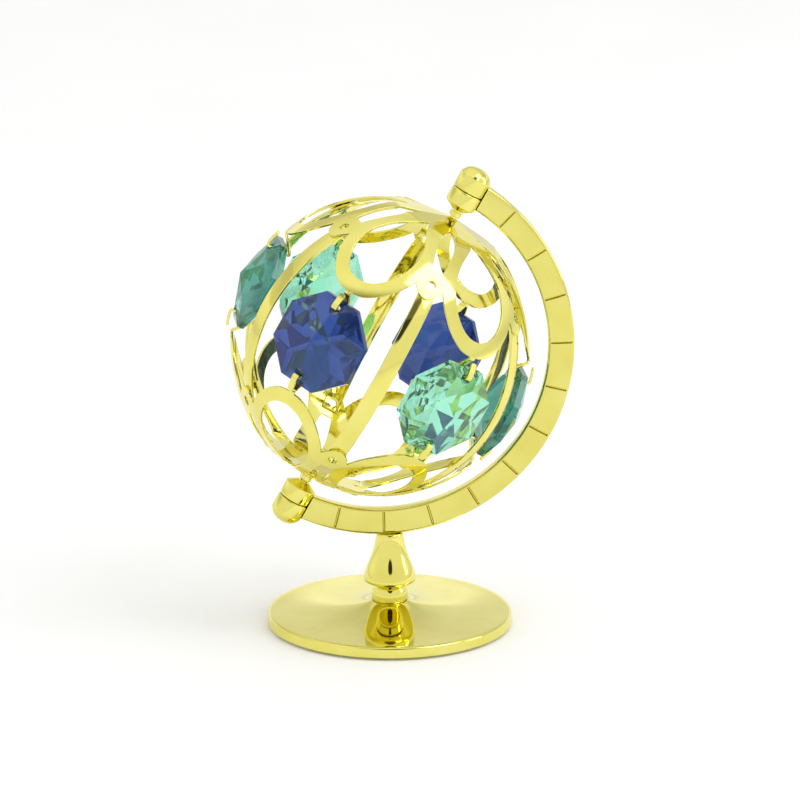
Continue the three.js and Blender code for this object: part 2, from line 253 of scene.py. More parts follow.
def turned(name, upper, lower=(), steps=96):
    """A piece turned about Z. upper goes from the first ring up and over; lower, if there
    is one, starts at the same ring and shapes the underside."""
    (r0, z0), (r1, z1) = upper[:2]
    take_up(None)
    bpy.ops.mesh.primitive_cone_add(
        vertices=steps, radius1=r0 * MM, radius2=r1 * MM, depth=(z1 - z0) * MM,
        location=(0, 0, (z0 + z1) / 2 * MM), end_fill_type="NGON")
    piece = named(name)
    bpy.ops.object.transform_apply(location=True)
    open_mesh(piece)
    pick_faces(piece, lambda centre, normal: normal.z > 0.99 and centre.z > (z0 + z1) / 2 * MM)
    draw_out(upper[1:])
    if lower:
        pick_faces(piece, lambda centre, normal: normal.z < -0.99 and abs(centre.z - z0 * MM) < 1e-7)
        draw_out([(r0, z0), *lower])
    close_mesh()
    tidy_surface(piece)
    return piece


# ---- finishes ------------------------------------------------------------------------------
def finish_nodes(name):
    material = bpy.data.materials.new(name)
    material.use_nodes = True
    nodes = material.node_tree.nodes
    links = material.node_tree.links
    shader = nodes["Principled BSDF"]
    where = nodes.new("ShaderNodeTexCoord").outputs["Object"]
    return material, nodes, links, shader, where


def noise(nodes, links, where, scale, detail=3.0):
    texture = nodes.new("ShaderNodeTexNoise")
    texture.inputs["Scale"].default_value = scale
    texture.inputs["Detail"].default_value = detail
    links.new(where, texture.inputs["Vector"])
    return texture.outputs["Fac"]


def ramp(nodes, links, value, stops):
    colours = nodes.new("ShaderNodeValToRGB")
    band = colours.color_ramp
    band.elements[0].position, band.elements[0].color = stops[0][0], (*stops[0][1], 1)
    band.elements[1].position, band.elements[1].color = stops[-1][0], (*stops[-1][1], 1)
    for position, colour in stops[1:-1]:
        band.elements.new(position).color = (*colour, 1)
    links.new(value, colours.inputs["Fac"])
    return colours.outputs["Color"]


def spread(nodes, links, value, low, high):
    span = nodes.new("ShaderNodeMapRange")
    span.inputs["From Min"].default_value = 0.3
    span.inputs["From Max"].default_value = 0.7
    span.inputs["To Min"].default_value = low
    span.inputs["To Max"].default_value = high
    links.new(value, span.inputs["Value"])
    return span.outputs["Result"]


def bump(nodes, links, shader, height, strength, distance):
    relief = nodes.new("ShaderNodeBump")
    relief.inputs["Strength"].default_value = strength
    relief.inputs["Distance"].default_value = distance
    links.new(height, relief.inputs["Height"])
    links.new(relief.outputs["Normal"], shader.inputs["Normal"])


GOLD_SHADES = ((0.3, (0.78, 0.705, 0.16)), (0.5, (0.82, 0.75, 0.19)), (0.7, (0.85, 0.785, 0.23)))


def gold_plate(name, rough, ripple, depth):
    """Polished plate: slight cloudiness in the plating, buffing haze, faint ripple. depth below
    1 darkens every shade of the gold alike: painted shade, not a deeper gold."""
    material, nodes, links, shader, where = finish_nodes(name)
    shader.inputs["Metallic"].default_value = 1.0
    cloud = noise(nodes, links, where, 160.0)
    # depth scales all of the gold's shades. Below 1 it is painted shade.
    shades = [(place, tuple(depth * channel for channel in colour)) for place, colour in GOLD_SHADES]
    links.new(ramp(nodes, links, cloud, shades), shader.inputs["Base Color"])
    haze = noise(nodes, links, where, 900.0, 4.0)
    links.new(spread(nodes, links, haze, rough * 0.7, rough * 1.4), shader.inputs["Roughness"])
    wave = noise(nodes, links, where, 260.0, 1.0)
    bump(nodes, links, shader, wave, ripple, 0.0001)
    return material


def cut_glass(name, shallow, deep, ior, clear):
    """Cut glass: the tint drifts a little through the stone, and the polish is near perfect."""
    material, nodes, links, shader, where = finish_nodes(name)
    shader.inputs["Transmission Weight"].default_value = clear
    shader.inputs["IOR"].default_value = ior
    drift = noise(nodes, links, where, 140.0, 2.0)
    links.new(ramp(nodes, links, drift, [(0.35, deep), (0.65, shallow)]), shader.inputs["Base Color"])
    polish = noise(nodes, links, where, 700.0)
    links.new(spread(nodes, links, polish, 0.005, 0.03), shader.inputs["Roughness"])
    return material


def felt_cloth():
    material, nodes, links, shader, where = finish_nodes("black felt")
    fuzz = noise(nodes, links, where, 2600.0, 8.0)
    shades = [(0.35, (0.006, 0.006, 0.008)), (0.7, (0.035, 0.035, 0.04))]
    links.new(ramp(nodes, links, fuzz, shades), shader.inputs["Base Color"])
    shader.inputs["Roughness"].default_value = 0.95
    shader.inputs["Sheen Weight"].default_value = 0.4
    bump(nodes, links, shader, fuzz, 0.8, 0.0002)
    return material


def screw_steel():
    material, nodes, links, shader, where = finish_nodes("machined steel")
    shader.inputs["Metallic"].default_value = 1.0
    rings = nodes.new("ShaderNodeTexWave")
    rings.wave_type = "RINGS"
    rings.rings_direction = "Z"
    rings.inputs["Scale"].default_value = 2500.0
    rings.inputs["Distortion"].default_value = 1.0
    links.new(where, rings.inputs["Vector"])
    shades = [(0.2, (0.42, 0.43, 0.45)), (0.8, (0.62, 0.63, 0.65))]
    links.new(ramp(nodes, links, rings.outputs["Fac"], shades), shader.inputs["Base Color"])
    links.new(spread(nodes, links, rings.outputs["Fac"], 0.22, 0.4), shader.inputs["Roughness"])
    return material


GOLD_TURNED = gold_plate("gold plate, turned pieces", 0.035, 0.03, 1.0)
# The bar's gold is darkened to 0.9 of the other gold: painted shade, so the bar reads darker under this
# light.
GOLD_BAR = gold_plate("gold plate, drawn bar", 0.06, 0.16, 0.9)
GOLD_SHEET = gold_plate("gold plate, stamped sheet", 0.06, 0.05, 1.0)
FELT = felt_cloth()
STEEL = screw_steel()
GLASS = {
    "blue": cut_glass("sapphire glass", (0.06, 0.13, 0.44), (0.03, 0.075, 0.32), 1.48, 0.8),
    "green": cut_glass("aqua green glass", (0.42, 0.92, 0.71), (0.30, 0.82, 0.58), 1.56, 0.94),
    "teal": cut_glass("teal glass", (0.11, 0.47, 0.37), (0.06, 0.34, 0.27), 1.48, 0.8),
}


def hand_over(piece, material, slot, body, *nodes):
    if material not in GLASS.values() and not piece.data.has_custom_normals:
        even_shading(piece)
    piece.data.materials.clear()
    piece.data.materials.append(material)
    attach(piece, body)
    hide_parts(*nodes)


# ---- base and stem ----------------------------------------------------------------------------
def base_disc():
    rim = [(BASE_R - 0.14, RIM_FOOT), (BASE_R, RIM_FOOT + 0.14), (BASE_R - 0.12, RIM_TOP - 0.42)]
    rim += arc(BASE_R - 0.52, RIM_TOP - 0.4, 0.4, 0, 90, 8)
    flare = bezier((BASE_R - 0.9, RIM_TOP + 0.01), (FLARE_R + 1.2, RIM_TOP + 0.14),
                   (4.5, FLARE_TOP - 1.15), (3.0, FLARE_TOP), 44)
    seat = [(2.86, FLARE_TOP + 0.04), (2.68, FLARE_TOP - 0.02), (2.4, FLARE_TOP - 0.5),
            (1.2, FLARE_TOP - 0.7)]
    recess_r, bolt_hole_r = PAD_R + 0.1, BOLT_HEAD_R + 0.25
    under = [(recess_r, RIM_FOOT), (recess_r, RECESS_TOP), (bolt_hole_r, RECESS_TOP),
             (bolt_hole_r, RECESS_TOP + 0.55)]
    return turned("base_disc", [*rim, *flare, *seat], under, 160)


def base_felt():
    return turned("base_felt", [(PAD_R - 0.08, 0), (PAD_R, 0.1), (PAD_R, 0.8), (PAD_R - 0.1, 0.9),
                                (PAD_R * 0.5, 0.91)], steps=128)


def base_bolt():
    head = [(BOLT_HEAD_R - 0.2, RECESS_TOP), (BOLT_HEAD_R, RECESS_TOP + 0.15),
            (BOLT_HEAD_R, RECESS_TOP + 0.3)]
    shank = [(BOLT_R, RECESS_TOP + 0.31), (BOLT_R, BOLT_TOP - 0.25), (BOLT_R - 0.2, BOLT_TOP)]
    bolt = turned("base_bolt", [*head, *shank], steps=48)
    slots = []
    for quarter in (0, 1):
        take_up(None)
        bpy.ops.mesh.primitive_cube_add(size=1, location=(0, 0, RECESS_TOP * MM),
                                        rotation=(0, 0, quarter * math.pi / 2),
                                        scale=(2.4 * MM, 0.4 * MM, 0.4 * MM))
        slots.append(bpy.context.object)
    for slot in slots:
        cut_away(bolt, [slot])
    tidy_surface(bolt)
    return bolt


def stem_ball():
    side = arc(0, KNOB_Z, KNOB_R, -38, 38, 26)
    return turned("stem_ball", [*side, (1.2, side[-1][1] + 0.02)], [(1.2, side[0][1])], 96)


def stem_bell():
    rim = arc(CONE_R - 0.48, CONE_Z + 0.62, 0.48, -75, 12, 9)
    flank = bezier(rim[-1], (3.78, CONE_Z + 2.7), (2.45, CONE_Z + 4.0), (2.06, ARM_FOOT_Z - 0.12), 30)
    crown = [(1.95, ARM_FOOT_Z + 0.02), (1.2, ARM_FOOT_Z + 0.06)]
    under = [(2.3, CONE_Z + 0.1), (2.05, CONE_Z - 0.24)]
    return turned("stem_bell", [*rim, *flank[1:], *crown], under, 96)


# ---- arm and hubs, made with the hub axis upright and then leaned over -------------------------
LEAN = Matrix.Translation(BALL_CENTRE) @ Matrix.Rotation(TILT, 4, "Y")
TURNED_OVER = Matrix.Rotation(math.pi, 4, "X")


def arm_bar():
    middle = ARM_OUTER_R - ARM_W / 2
    take_up(None)
    bpy.ops.mesh.primitive_grid_add(x_subdivisions=8, y_subdivisions=1, size=1,
                                    location=(0, 0, -middle * MM), rotation=(0, math.pi / 2, 0))
    bar = named("arm_bar")
    bpy.ops.object.transform_apply(location=True, rotation=True)
    open_mesh(bar)
    bpy.ops.transform.resize(value=(1, ARM_T * MM, ARM_W * MM), center_override=(0, 0, -middle * MM))
    section = bmesh.from_edit_mesh(bar.data)
    for corner in section.verts:
        across = (corner.co.z / MM + middle) / (ARM_W / 2)
        corner.co.y *= 1 - ARM_CROWN / (ARM_T / 2) * across * across
    bmesh.update_edit_mesh(bar.data)
    bpy.ops.mesh.select_all(action="SELECT")
    bpy.ops.mesh.spin(steps=180, angle=math.pi, center=(0, 0, 0), axis=(0, 1, 0))
    bpy.ops.mesh.select_all(action="SELECT")
    bpy.ops.mesh.remove_doubles(threshold=1e-7)
    bpy.ops.mesh.normals_make_consistent(inside=False)
    close_mesh()
    apply_bevel(bar, 0.34, 4, 50)
    open_mesh(bar)
    bpy.ops.mesh.bisect(plane_co=((HUB_R - 0.12) * MM, 0, 0), plane_no=(1, 0, 0), use_fill=True,
                        clear_inner=True, threshold=1e-7)
    close_mesh()
    cut_away(bar, tick_cutters(middle))
    tidy_surface(bar, 32)
    set_in_place(bar, LEAN)
    return bar


def tick_cutters(middle):
    """A wedge for each tick mark, on both faces of the arm."""
    cutters = []
    for i in range(1, TICKS + 1):
        turn = math.pi * i / (TICKS + 1) - math.pi / 2
        for side in (-1, 1):
            take_up(None)
            bpy.ops.mesh.primitive_cube_add(
                size=1, location=(middle * MM, side * (ARM_T / 2) * MM, 0),
                scale=(TICK_LENGTH * MM, 2 * TICK_DEPTH * MM, 2 * TICK_W * MM))
            cutter = named("tick_cutter")
            bpy.ops.object.transform_apply(location=True, rotation=True, scale=True)
            open_mesh(cutter)
            pick_faces(cutter, lambda centre, normal: normal.y * side < -0.99)
            bpy.ops.transform.resize(value=(1, 1, 0.1), center_override=(0, 0, 0))
            close_mesh()
            set_in_place(cutter, Matrix.Rotation(-turn, 4, "Y"))
            cutters.append(cutter)
    return cutters


def hub_body():
    nose = [(NOSE_R - 0.02, NOSE_TIP), (NOSE_R + 0.06, NOSE_TIP + 0.08),
            (HUB_R - 0.24, HUB_FOOT - 0.23)]
    skirt = arc(HUB_R - 0.2, HUB_FOOT, 0.2, -40, 0, 4)
    waist = [(HUB_R, HUB_GROOVE - 0.24), (HUB_R - 0.06, HUB_GROOVE - 0.12),
             (HUB_R - 0.2, HUB_GROOVE - 0.04), (1.2, HUB_GROOVE - 0.02)]
    bore = [(PIN_R + 0.12, NOSE_TIP), (PIN_R + 0.12, PIN_TOP + 0.1)]
    return turned("hub_body", [*nose, *skirt, *waist], bore, 72)


def hub_cap():
    foot = [(HUB_R - 0.2, HUB_GROOVE), (HUB_R - 0.06, HUB_GROOVE + 0.08), (HUB_R, HUB_GROOVE + 0.2)]
    shoulder = arc(HUB_R - 0.14, CAP_SHOULDER, 0.14, 0, 40, 4)
    dome = bezier(shoulder[-1], (2.0, CAP_TOP - 0.63), (1.5, CAP_TOP - 0.06), (0.06, CAP_TOP), 16)
    return turned("hub_cap", [*foot, *shoulder, *dome[1:]], steps=72)


def pivot_pin():
    head = [(PIN_HEAD_R - 0.3, PIN_END), (PIN_HEAD_R, PIN_END + 0.2), (PIN_HEAD_R, PIN_END + 0.57),
            (PIN_R, PIN_END + 0.59), (PIN_R, COLLAR_FOOT - 0.02)]
    collar = [(COLLAR_R - 0.07, COLLAR_FOOT), (COLLAR_R, COLLAR_FOOT + 0.08),
              (COLLAR_R, COLLAR_FOOT + 0.64), (COLLAR_R - 0.07, COLLAR_FOOT + 0.72)]
    shank = [(PIN_R, COLLAR_FOOT + 0.74), (PIN_R, PIN_TOP)]
    return turned("pivot_pin", [*head, *collar, *shank], steps=48)


# ---- the stamped flowers ---------------------------------------------------------------------
def prong_path():
    """Centre line of a bead prong, (outwards from the bead's centre, upwards), corners eased."""
    middle = BALL_R - SHEET_T / 2
    polar = PETAL_TIP / BALL_R
    start = (middle * math.sin(polar) - BEAD_R, middle * math.cos(polar))
    line = [start, (start[0] + 0.1, start[1] - 0.24), (-0.35, 7.85), (-1.05, 7.05), (-1.81, 5.95),
            (-1.81, BEAD_HOLE_Y), (1.85, BEAD_HOLE_Y), (1.80, 6.4), (1.55, 7.2), (1.15, 8.3)]
    for _ in range(3):
        eased = [line[0]]
        for a, b in zip(line, line[1:]):
            eased.append((a[0] * 0.75 + b[0] * 0.25, a[1] * 0.75 + b[1] * 0.25))
            eased.append((a[0] * 0.25 + b[0] * 0.75, a[1] * 0.25 + b[1] * 0.75))
        eased.append(line[-1])
        line = eased
    lengths = [0.0]
    for a, b in zip(line, line[1:]):
        lengths.append(lengths[-1] + math.dist(a, b))
    return line, lengths


PRONG_LINE, PRONG_LENGTHS = prong_path()
PRONG_RUN = PRONG_LENGTHS[-1]


def along_prong(distance):
    """Point and direction of the prong's centre line at a distance from the petal's tip."""
    distance = min(max(distance, 0.0), PRONG_RUN - 1e-6)
    i = max(k for k, length in enumerate(PRONG_LENGTHS[:-1]) if length <= distance)
    a, b = PRONG_LINE[i], PRONG_LINE[i + 1]
    step = PRONG_LENGTHS[i + 1] - PRONG_LENGTHS[i]
    t = (distance - PRONG_LENGTHS[i]) / step
    before = PRONG_LINE[max(i - 1, 0)]
    after = PRONG_LINE[min(i + 2, len(PRONG_LINE) - 1)]
    lean_a = Vector((b[0] - before[0], b[1] - before[1])).normalized()
    lean_b = Vector((after[0] - a[0], after[1] - a[1])).normalized()
    point = Vector((a[0] + (b[0] - a[0]) * t, a[1] + (b[1] - a[1]) * t))
    return point, lean_a.lerp(lean_b, t).normalized()


def turn_flat(x, y, angle):
    c, s = math.cos(angle), math.sin(angle)
    return (c * x - s * y, s * x + c * y)


def petal_edge(angle):
    """One petal's share of the blank's outer edge: the petal, its prong and the tab after it.
    A knot is (point, handle before, handle after)."""
    half = PRONG_W / 2
    tip = PETAL_TIP + PRONG_RUN
    reach = 4 / 3 * math.tan(TAB_SWEEP / 4) * TAB_R
    corner = SECTOR / 2 - TAB_SWEEP
    far = (math.cos(SECTOR / 2), math.sin(SECTOR / 2))
    cx, cy = TAB_AT * far[0], TAB_AT * far[1]
    x, y = cx + TAB_R * math.cos(corner), cy + TAB_R * math.sin(corner)
    fx, fy = cx + TAB_R * far[0], cy + TAB_R * far[1]
    along = (-math.sin(corner) * reach, math.cos(corner) * reach)
    bulge = (PETAL_TIP + PETAL_WIDE) / 2
    knots = [
        ((x, -y), (x - along[0], -y + along[1]), (bulge, -y)),
        ((PETAL_TIP, -half - 0.25), (PETAL_TIP, -4.4), (PETAL_TIP, -half - 0.05)),
        ((PETAL_TIP + 0.25, -half), (PETAL_TIP + 0.05, -half), (PETAL_TIP + 0.25, -half)),
        ((tip - half, -half), (tip - half, -half), (tip, -half)),
        ((tip - half, half), (tip, half), (tip - half, half)),
        ((PETAL_TIP + 0.25, half), (PETAL_TIP + 0.25, half), (PETAL_TIP + 0.05, half)),
        ((PETAL_TIP, half + 0.25), (PETAL_TIP, half + 0.05), (PETAL_TIP, 4.4)),
        ((x, y), (bulge, y), (x + along[0], y + along[1])),
        ((fx, fy), (fx + far[1] * reach, fy - far[0] * reach),
         (fx - far[1] * reach, fy + far[0] * reach)),
    ]
    return [tuple(turn_flat(*point, angle) for point in knot) for knot in knots]


def petal_opening(angle):
    h, end = OPENING_HALF_W, PETAL_TIP - BAND_W
    knots = [((7.1, 0), (7.1, -0.22), (7.1, 0.22)),
             ((8.0, 0.42), (7.5, 0.28), (10.3, 1.15)),
             ((PETAL_WIDE, h), (13, h), (21.2, h)),
             ((end, 0), (end, 3.2), (end, -3.2)),
             ((PETAL_WIDE, -h), (21.2, -h), (13, -h)),
             ((8.0, -0.42), (10.3, -1.15), (7.5, -0.28))]
    return [tuple(turn_flat(*point, angle) for point in knot) for knot in knots]


def slot_between_petals(angle):
    stop = TAB_AT - 2.45
    knots = [((5.8, 0), (5.8, -0.18), (5.8, 0.18)),
             ((11.5, 1.4), (8.7, 1.4), (13.5, 1.4)),
             ((stop, 0.93), (15.3, 1.2), (stop, 0.93)),
             ((stop, -0.93), (stop, -0.93), (15.3, -1.2)),
             ((11.5, -1.4), (13.5, -1.4), (8.7, -1.4))]
    return [tuple(turn_flat(*point, angle) for point in knot) for knot in knots]


def round_hole(x, y, radius):
    reach = radius * 4 / 3 * math.tan(math.pi / 8)
    loop = []
    for i in range(4):
        c, s = math.cos(i * math.pi / 2), math.sin(i * math.pi / 2)
        px, py = x + radius * c, y + radius * s
        loop.append(((px, py), (px + s * reach, py - c * reach), (px - s * reach, py + c * reach)))
    return loop


def blank_loops():
    """The flat blank: its outer edge, then its openings, slots and holes."""
    angles = [FIRST_BEAD + i * SECTOR for i in range(PETALS)]
    loops = [[knot for angle in angles for knot in petal_edge(angle)]]
    for angle in angles:
        between = angle + SECTOR / 2
        loops.append(petal_opening(angle))
        loops.append(slot_between_petals(between))
        loops.append(round_hole(TAB_AT * math.cos(between), TAB_AT * math.sin(between), TAB_HOLE_R))
    loops.append(round_hole(0, 0, PIN_R + 0.12))
    return loops


def petal_at(co):
    """The direction of the petal that a point of the flat blank belongs to."""
    return FIRST_BEAD + SECTOR * round((math.atan2(co.y, co.x) - FIRST_BEAD) / SECTOR)


def shape_flat_point(co, petal):
    """Where a point of the flat blank goes when the blank is domed and its prongs are bent."""
    x, y = turn_flat(co.x, co.y, -petal)
    middle = BALL_R - SHEET_T / 2
    if x > PETAL_TIP:
        point, lean = along_prong(x - PETAL_TIP)
        out = BEAD_R + point.x - lean.y * co.z
        up = point.y + lean.x * co.z
        local = Vector((out, y, up))
    else:
        run = math.hypot(x, y)
        polar = run / BALL_R
        radius = middle + co.z
        k = radius * math.sin(polar) / run if run > 1e-9 else 1.0
        local = Vector((x * k, y * k, radius * math.cos(polar)))
        if x < CREASE_AT + CREASE_EASE:
            polar_c = CREASE_AT / BALL_R
            drop = middle * (1 - math.cos(polar_c))
            span = middle * math.sin(polar_c)
            slope = math.atan2(drop, span)
            facet = Vector((x * span / CREASE_AT + co.z * math.sin(slope), y,
                            middle - drop * x / CREASE_AT + co.z * math.cos(slope)))
            t = min(max((x - CREASE_AT + CREASE_EASE) / (2 * CREASE_EASE), 0.0), 1.0)
            local = facet.lerp(local, t * t * (3 - 2 * t))
    px, py = turn_flat(local.x, local.y, petal)
    return Vector((px, py, local.z)) * MM


def shade_by_the_dome(sheet, flat, sides):
    """Shades the two broad sides of the sheet by the dome they were pressed to, and leaves the
    cut edges as they are. flat holds the blank's points, sides +1, -1 or 0 for each face."""
    known = {}
    step_x, step_y = Vector((0.02, 0, 0)), Vector((0, 0.02, 0))

    def outwards(index, petal):
        if (index, petal) not in known:
            co = flat[index]
            along_x = shape_flat_point(co + step_x, petal) - shape_flat_point(co - step_x, petal)
            along_y = shape_flat_point(co + step_y, petal) - shape_flat_point(co - step_y, petal)
            known[index, petal] = along_x.cross(along_y).normalized()
        return known[index, petal]

    corners = [Vector() for _ in sheet.data.loops]
    for face, side in zip(sheet.data.polygons, sides):
        if side:
            centre = sum((flat[i] for i in face.vertices), Vector()) / len(face.vertices)
            petal = petal_at(centre)
            for corner, index in zip(face.loop_indices, face.vertices):
                corners[corner] = outwards(index, petal) * side
    sheet.data.normals_split_custom_set(corners)


def flat_blank():
    """The flower as it is stamped, flat, in millimetres."""
    edge = 0.06
    outline = bpy.data.curves.new("petals", "CURVE")
    outline.dimensions = "2D"
    outline.fill_mode = "BOTH"
    outline.extrude = SHEET_T / 2 - edge
    outline.bevel_depth = edge
    outline.bevel_resolution = 2
    outline.offset = -edge
    outline.resolution_u = 14
    for loop in blank_loops():
        spline = outline.splines.new("BEZIER")
        spline.bezier_points.add(len(loop) - 1)
        spline.use_cyclic_u = True
        for knot, (point, before, after) in zip(spline.bezier_points, loop):
            knot.handle_left_type = knot.handle_right_type = "FREE"
            knot.co = (*point, 0)
            knot.handle_left = (*before, 0)
            knot.handle_right = (*after, 0)
    sheet = bpy.data.objects.new("petals", outline)
    bpy.context.scene.collection.objects.link(sheet)
    take_up(sheet)
    bpy.ops.object.convert(target="MESH")
    return bpy.context.object


def score(place, across):
    """Marks a line over the whole open sheet, so that it has points to bend at."""
    bpy.ops.mesh.select_all(action="SELECT")
    bpy.ops.mesh.bisect(plane_co=place, plane_no=across, threshold=1e-4)


def stamped_flower():
    sheet = flat_blank()
    open_mesh(sheet)
    bpy.ops.mesh.remove_doubles(threshold=SHEET_MERGE)
    for across in (Vector((1, 0, 0)), Vector((0, 1, 0))):
        for i in range(-26, 27):
            score(across * (i * 0.95 + 0.013), across)
    for i in range(PETALS):
        angle = FIRST_BEAD + i * SECTOR
        way = Vector((math.cos(angle), math.sin(angle), 0))
        for place in (CREASE_AT - CREASE_EASE, CREASE_AT, CREASE_AT + CREASE_EASE):
            score(way * place, way)
        for step in range(int(PRONG_RUN / PRONG_STEP)):
            score(way * (PETAL_TIP + 0.02 + step * PRONG_STEP), way)
        fold = Matrix.Rotation(SECTOR / 2, 3, "Z") @ Vector((-way.y, way.x, 0))
        score((0, 0, 0), fold)
    bpy.ops.mesh.select_all(action="SELECT")
    bpy.ops.mesh.remove_doubles(threshold=SHEET_MERGE)
    bpy.ops.mesh.normals_make_consistent(inside=False)
    close_mesh()
    flat = [corner.co.copy() for corner in sheet.data.vertices]
    sides = [round(face.normal.z) if abs(face.normal.z) > 0.95 else 0 for face in sheet.data.polygons]
    for corner in sheet.data.vertices:
        corner.co = shape_flat_point(corner.co, petal_at(corner.co))
    take_up(sheet)
    bpy.ops.object.shade_smooth_by_angle(angle=math.radians(38))
    shade_by_the_dome(sheet, flat, sides)
    return sheet


# ---- ribs -----------------------------------------------------------------------------------
def rib_strip():
    outside = BALL_R - SHEET_T
    middle = outside - SHEET_T / 2
    take_up(None)
    bpy.ops.mesh.primitive_grid_add(x_subdivisions=1, y_subdivisions=8, size=1,
                                    location=(0, 0, middle * MM), rotation=(0, math.pi / 2, 0))
    strip = named("rib_strip")
    bpy.ops.object.transform_apply(location=True, rotation=True)
    open_mesh(strip)
    bpy.ops.transform.resize(value=(1, RIB_W * MM, SHEET_T * MM), center_override=(0, 0, middle * MM))
    section = bmesh.from_edit_mesh(strip.data)
    for corner in section.verts:
        across = corner.co.y / MM / (RIB_W / 2)
        corner.co.z -= RIB_CROWN * MM * across * across
    bmesh.update_edit_mesh(strip.data)
    bpy.ops.mesh.select_all(action="SELECT")
    bpy.ops.mesh.spin(steps=110, angle=math.pi - 2 * RIB_START, center=(0, 0, 0), axis=(0, -1, 0))
    close_mesh()
    set_in_place(strip, Matrix.Rotation(RIB_START, 4, "Y"))
    tidy_surface(strip)
    apply_bevel(strip, 0.08, 2, 50)
    for polar in (TAB_POLAR, math.pi - TAB_POLAR):
        take_up(None)
        bpy.ops.mesh.primitive_cylinder_add(vertices=32, radius=TAB_HOLE_R * MM, depth=2 * MM,
                                            location=(0, 0, middle * MM))
        drill = named("drill")
        bpy.ops.object.transform_apply(location=True)
        set_in_place(drill, Matrix.Rotation(polar, 4, "Y"))
        cut_away(strip, [drill])
    tidy_surface(strip)
    return strip


# ---- beads ----------------------------------------------------------------------------------
def cut_bead():
    """A rough block sawn to an octagon, then ground facet by facet, drilled and polished."""
    take_up(None)
    bpy.ops.mesh.primitive_cube_add(size=1, scale=(2 * BEAD_HALF_T * MM, 20 * MM, 20 * MM))
    stone = named("bead")
    bpy.ops.object.transform_apply(scale=True)
    open_mesh(stone)

    def grind(normal, distance):
        """Takes off all that lies past the plane where normal . point is distance."""
        normal = Vector(normal)
        length = normal.length
        foot = normal * (distance * MM / (length * length))
        bpy.ops.mesh.select_all(action="SELECT")
        bpy.ops.mesh.bisect(plane_co=foot, plane_no=normal / length, use_fill=True,
                            clear_outer=True, threshold=1e-8)

    corner = BEAD_ACROSS / 2 / math.cos(math.pi / 8)
    slope = (BEAD_HALF_T - BEAD_EDGE) / corner
    ring_x = BEAD_HALF_T - slope * BEAD_RING_R * math.cos(math.pi / 8)
    edge_slope = (ring_x - BEAD_EDGE) / (BEAD_ACROSS / 2 - BEAD_RING_R)
    for i in range(8):
        a = i * math.pi / 4
        grind((0, math.cos(a), math.sin(a)), BEAD_ACROSS / 2)
    for side in (-1, 1):
        for i in range(8):
            a = i * math.pi / 4
            b = a + math.pi / 8
            grind((side, slope * math.cos(b), slope * math.sin(b)), BEAD_HALF_T)
            grind((side, edge_slope * math.cos(a), edge_slope * math.sin(a)),
                  BEAD_EDGE + edge_slope * BEAD_ACROSS / 2)
    bpy.ops.mesh.select_all(action="SELECT")
    bpy.ops.mesh.remove_doubles(threshold=1e-7)
    bpy.ops.mesh.normals_make_consistent(inside=False)
    close_mesh()
    for side in (-1, 1):
        take_up(None)
        bpy.ops.mesh.primitive_cylinder_add(vertices=40, radius=BEAD_HOLE_R * MM, depth=8 * MM,
                                            location=(0, 0, side * BEAD_HOLE_Y * MM),
                                            rotation=(0, math.pi / 2, 0))
        cut_away(stone, [bpy.context.object])
    apply_bevel(stone, 0.05, 1, 11)
    open_mesh(stone)
    bpy.ops.mesh.normals_make_consistent(inside=False)
    bpy.ops.mesh.faces_shade_flat()
    close_mesh()
    return stone


# ---- putting it together ------------------------------------------------------------------------
hand_over(base_felt(), FELT, "felt", "stand", "felt_pad")
hand_over(base_disc(), GOLD_TURNED, "gold_plate", "stand", "base_plate")
hand_over(base_bolt(), STEEL, "screw_steel", "stand", "base_screw")
hand_over(stem_ball(), GOLD_TURNED, "gold_plate", "stand", "stem_knob")
hand_over(stem_bell(), GOLD_TURNED, "gold_plate", "stand", "stem_cone")
hand_over(arm_bar(), GOLD_BAR, "gold_plate", "stand", "meridian_arm")

for made, part in ((hub_body(), "hub_body"), (hub_cap(), "hub_cap"), (pivot_pin(), "pivot_pin")):
    made.name = f"top_{part}"
    below = copy_of(made, f"bottom_{part}")
    set_in_place(made, LEAN)
    set_in_place(below, LEAN @ TURNED_OVER)
    hand_over(made, GOLD_TURNED, "gold_plate", "stand", f"upper_{part}")
    hand_over(below, GOLD_TURNED, "gold_plate", "stand", f"lower_{part}")

top_petals = stamped_flower()
top_petals.name = "top_petals"
bottom_petals = copy_of(top_petals, "bottom_petals")
set_in_place(top_petals, LEAN)
set_in_place(bottom_petals, LEAN @ Matrix.Rotation(2 * FIRST_BEAD, 4, "Z") @ TURNED_OVER)
hand_over(top_petals, GOLD_SHEET, "gold_plate", "ball", "upper_flower")
hand_over(bottom_petals, GOLD_SHEET, "gold_plate", "ball", "lower_flower")

plain_rib = rib_strip()
plain_bead = cut_bead()
COLOURS = ("teal", "blue", "green")
for i in range(PETALS):
    angle = FIRST_BEAD + i * SECTOR
    rib = copy_of(plain_rib, f"rib_strip_{i + 1}")
    set_in_place(rib, LEAN @ Matrix.Rotation(angle + SECTOR / 2, 4, "Z"))
    hand_over(rib, GOLD_SHEET, "gold_plate", "ball", f"rib_{i + 1}")
    colour = COLOURS[i % len(COLOURS)]
    turn = BEAD_TURN if colour == "teal" else 0.0
    bead = copy_of(plain_bead, f"glass_bead_{i + 1}")
    around = Matrix.Rotation(angle, 4, "Z") @ Matrix.Translation((BEAD_R * MM, 0, 0))
    set_in_place(bead, LEAN @ (around @ Matrix.Rotation(turn, 4, "Z")))
    hand_over(bead, GLASS[colour], f"glass_{colour}", f"bead_{i + 1}", f"bead_{i + 1}_{colour}")
bpy.data.objects.remove(plain_rib)
bpy.data.objects.remove(plain_bead)

